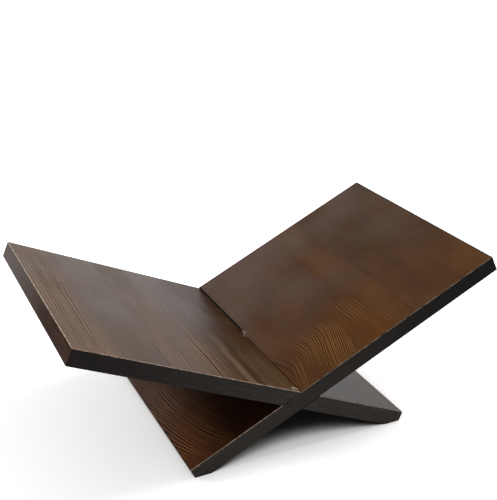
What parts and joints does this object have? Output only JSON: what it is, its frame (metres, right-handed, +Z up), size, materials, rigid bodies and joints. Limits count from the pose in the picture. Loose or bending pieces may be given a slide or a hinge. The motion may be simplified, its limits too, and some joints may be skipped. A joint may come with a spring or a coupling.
{
  "type": "book display stand",
  "caption": "Low X-shaped wooden display stand: two slotted veneered boards cross in a half lap and hold an open book in the V above the crossing.",
  "frame": {"origin": "on the floor, under the crease of the V, midway front to back; this is the bottom centre of the bounding box", "axes": "+X to the right across the X shape, +Y to the back along the crease, +Z up"},
  "size_m": [0.4122, 0.25, 0.1503],
  "materials": {
    "core_board": "raw sawn fibreboard",
    "face_veneer_outer": "open-pored ash veneer, dark walnut stain, satin",
    "face_veneer_inner": "open-pored ash veneer, dark walnut stain, satin",
    "face_veneer_foot": "open-pored ash veneer, dark walnut stain, satin",
    "backing_veneer": "plain backing veneer, dark walnut stain, satin",
    "end_band": "dark stained edge band, sanded arris, satin",
    "edge_band": "dark stained edge band, sanded arris, satin"
  },
  "bodies": {
    "left_board": {"left_core_panel": "core_board", "left_face_outer_leaf": "face_veneer_outer", "left_face_inner_leaf": "face_veneer_inner", "left_face_foot_leaf": "face_veneer_foot", "left_back_outer_leaf": "backing_veneer", "left_back_inner_leaf": "backing_veneer", "left_back_foot_leaf": "backing_veneer", "left_upper_end_band": "end_band", "left_foot_end_band": "end_band", "left_plain_edge_band": "edge_band", "left_slotted_edge_upper_band": "edge_band", "left_slotted_edge_lower_band": "edge_band"},
    "right_board": {"right_core_panel": "core_board", "right_face_outer_leaf": "face_veneer_outer", "right_face_inner_leaf": "face_veneer_inner", "right_face_foot_leaf": "face_veneer_foot", "right_back_outer_leaf": "backing_veneer", "right_back_inner_leaf": "backing_veneer", "right_back_foot_leaf": "backing_veneer", "right_upper_end_band": "end_band", "right_foot_end_band": "end_band", "right_plain_edge_band": "edge_band", "right_slotted_edge_upper_band": "edge_band", "right_slotted_edge_lower_band": "edge_band"}
  },
  "joints": [
    {"name": "pull_apart", "type": "slide", "parent": "left_board", "child": "right_board", "axis": [0, -1, 0], "range_m": [0, 0.252]}
  ]
}
